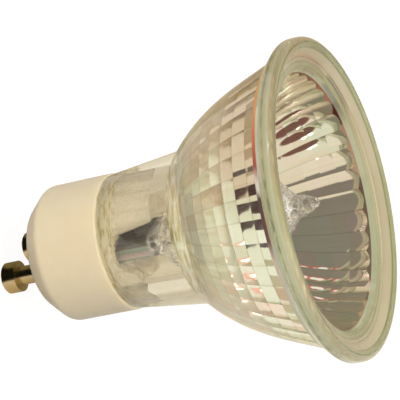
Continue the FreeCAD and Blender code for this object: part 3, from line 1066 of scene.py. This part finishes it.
for aim in bright_spots:
    spots += [(aim, red_edge_size, "C8523A"), (aim, bright_spot_size, "FFFFFF")]
for (across, upward, near), size, colour in spots:
    aim = (side * across + top * upward - ahead * near).normalized()
    facing = add("VectorMath", "DOT_PRODUCT", in_0=direction, in_1=aim)
    inside = add("MapRange", Value=facing, From_Min=math.cos(math.radians(size)),
                 From_Max=math.cos(math.radians(size * spot_core)))
    sky = add("Mix", COLOUR_MIX, Factor=inside, A=sky, B=colour)
set_inputs(light, Color=sky)

# A tan card close behind the bulb and a blotched one on the floor give glass and coat their warm tones.
big_card = 400.0
back_card_distance = 42.0
back_card_pale_below = -16.0
back_card_tan_above = -4.0
floor_card_lift = 0.15
blotch_size = 28.0
add, light, place = card("back_card", middle + ahead * back_card_distance, -ahead, big_card, big_card,
                         "C9BC9F")
up_card = add("VectorMath", "DOT_PRODUCT", in_0=place, in_1=top)
fade = add("MapRange", Value=up_card, From_Min=back_card_pale_below * MM,
           From_Max=back_card_tan_above * MM)
tan = add("Mix", COLOUR_MIX, Factor=fade, A="F0E6D0", B="C9BC9F")
set_inputs(light, Color=tan)
add, light, place = card("floor_card", up * (floor_level + floor_card_lift), up, big_card, big_card, "FFFFFF",
                         hidden_from=("transmission",))
blotches = add("TexNoise", Vector=place, Scale=1 / (blotch_size * MM), Detail=1.0)
paint = add("ValToRGB", Fac=blotches, stops=(
    (0.3, "D9E2CC"), (0.42, "FFFBF0"), (0.5, "EFE6D2"), (0.58, "FFFFFF"), (0.7, "F6D8C8")))
set_inputs(light, Color=paint)

# A low wall about each pin, under the cap, is brown, dark and tan in turn for the pin to mirror.
fence_radius = 4.8
fence_steps = 32
fence_bottom = floor_level + 0.2
fence_top = -0.4
pin_reach = 5.0
for name, pin_x in (("right_pin_fence", pin_reach), ("left_pin_fence", -pin_reach)):
    points = []
    faces = []
    for step in range(fence_steps):
        turn = 2 * math.pi * step / fence_steps
        for height in (fence_bottom, fence_top):
            out = Vector((math.cos(turn), math.sin(turn), 0)) * fence_radius
            points.append(Vector((pin_x, 0, height)) + out)
        after = (step + 1) % fence_steps
        faces.append((2 * step, 2 * after, 2 * after + 1, 2 * step + 1))
        faces.append((2 * step, 2 * after, 2 * fence_steps))
    points.append(Vector((pin_x, 0, fence_bottom)))
    add, light, place = glowing(name, points, faces, "FFFFFF", hidden_from=("transmission",))
    from_pin = add("VectorMath", "SUBTRACT", in_0=place, in_1=(pin_x * MM, 0, 0))
    out = add("VectorMath", "DOT_PRODUCT", in_0=from_pin, in_1=toward)
    across = add("VectorMath", "DOT_PRODUCT", in_0=from_pin, in_1=sideways)
    turn = add("Math", "ARCTAN2", in_0=across, in_1=out)
    share = add("MapRange", Value=turn, From_Min=-math.pi, From_Max=math.pi)
    paint = add("ValToRGB", Fac=share, stops=(
        (0.0, "8E7F58"), (0.3, "8E7F58"), (0.36, "14140F"), (0.52, "14140F"), (0.55, "FFF0D8"),
        (0.66, "E6D0A6"), (1.0, "8C7A56")))
    set_inputs(light, Color=paint)

# Small patches on the floor: a dark one for the coat, and two pink ones with a white heart for its back.
patch_lift = 0.3
patch_level = up * (floor_level + patch_lift)
dark_patch_place = toward * 68.0 - sideways * 4.0
dark_patch_size = 50.0
pink_patch_places = (toward * 6.0 + sideways * 25.0, toward * -9.0 + sideways * 25.0)
pink_patch_size = 18.0
glint_patch_size = 9.0
glint_patch_lift = up * 0.2
card("dark_patch", patch_level + dark_patch_place, up, dark_patch_size, dark_patch_size, "3A0C2C")
for number, place in enumerate(pink_patch_places):
    centre = patch_level + place
    card(f"pink_patch_{number}", centre, up, pink_patch_size, pink_patch_size, "F4A89C", 1.3, ("glossy",))
    card(f"glint_patch_{number}", centre + glint_patch_lift, up, glint_patch_size, glint_patch_size, "FFFFFF",
         4.0, ("glossy",))

# Low tan cards on both sides darken the neck's glass.
side_card_distance = 70.0
side_card_middle = 7.0
side_card_length = 160.0
side_card_height = 26.0
for name, turned in (("low_side_card", sideways), ("high_side_card", -sideways)):
    centre = turned * side_card_distance + up * side_card_middle
    card(name, centre, -turned, side_card_length, side_card_height, "CDBFA4", 1.0, ("glossy",), toward)

# The surround lights the bulb softly and is white where it is looked at.
world = bpy.data.worlds.new("studio")
bpy.context.scene.world = world
world.use_nodes = True
world.node_tree.nodes.clear()
add = partial(add_node, world.node_tree)
soft = add("Background", Color="FFFAF0", Strength=0.85)
white = add("Background", Color="FFFFFF", Strength=1.0)
chosen = add("MixShader", in_0=seen_directly(add), in_1=soft, in_2=white)
add("OutputWorld", Surface=chosen)

# The key lamp lights the bulb. Mirrors and glass see small lamp faces instead, so that glints stay small.
key_place = middle - ahead * 520.0 + top * 120.0 - side * 200.0
lamp_face_offset = top * 380.0 - ahead * 420.0 - side * 260.0
glint_lamp_offset = (side * 0.35 - top * 0.76 - ahead * 0.53) * 600.0
sparkle_lamps = 8
sparkle_rise = up * 0.75 * 500.0
sparkle_reach = 0.66 * 500.0
key_data = bpy.data.lights.new("key", "AREA")
key_data.shape = "DISK"
key_data.size = 0.4
key_data.energy = 2.8
key_data.color = linear("FFF6E8")[:3]
key = in_scene("key", key_data)
key.location = key_place * MM
key.rotation_euler = (middle - key_place).to_track_quat("-Z", "Y").to_euler()
key.visible_glossy = False
key.visible_transmission = False

lamps = [("lamp_face", lamp_face_offset, 70.0, "FFFFFF", 12.0, "transmission"),
         ("glint_lamp", glint_lamp_offset, 45.0, "FFFFFF", 6.0, "transmission")]
for number in range(sparkle_lamps):
    turn = 2 * math.pi * number / sparkle_lamps
    offset = sparkle_rise + (toward * math.cos(turn) + sideways * math.sin(turn)) * sparkle_reach
    lamps.append((f"sparkle_lamp_{number}", offset, 70.0, "FFF8E8", 14.0, "glossy"))
for name, offset, size, colour, strength, hidden_from in lamps:
    card(name, middle + offset, -offset, size, size, colour, strength, (hidden_from,))

bpy.context.scene.view_settings.view_transform = "Standard"

# Light passes many walls of glass and is mirrored many times in the bowl.
rays = bpy.context.scene.cycles
rays.max_bounces = 24
rays.diffuse_bounces = 12
rays.glossy_bounces = 16
rays.transmission_bounces = 20
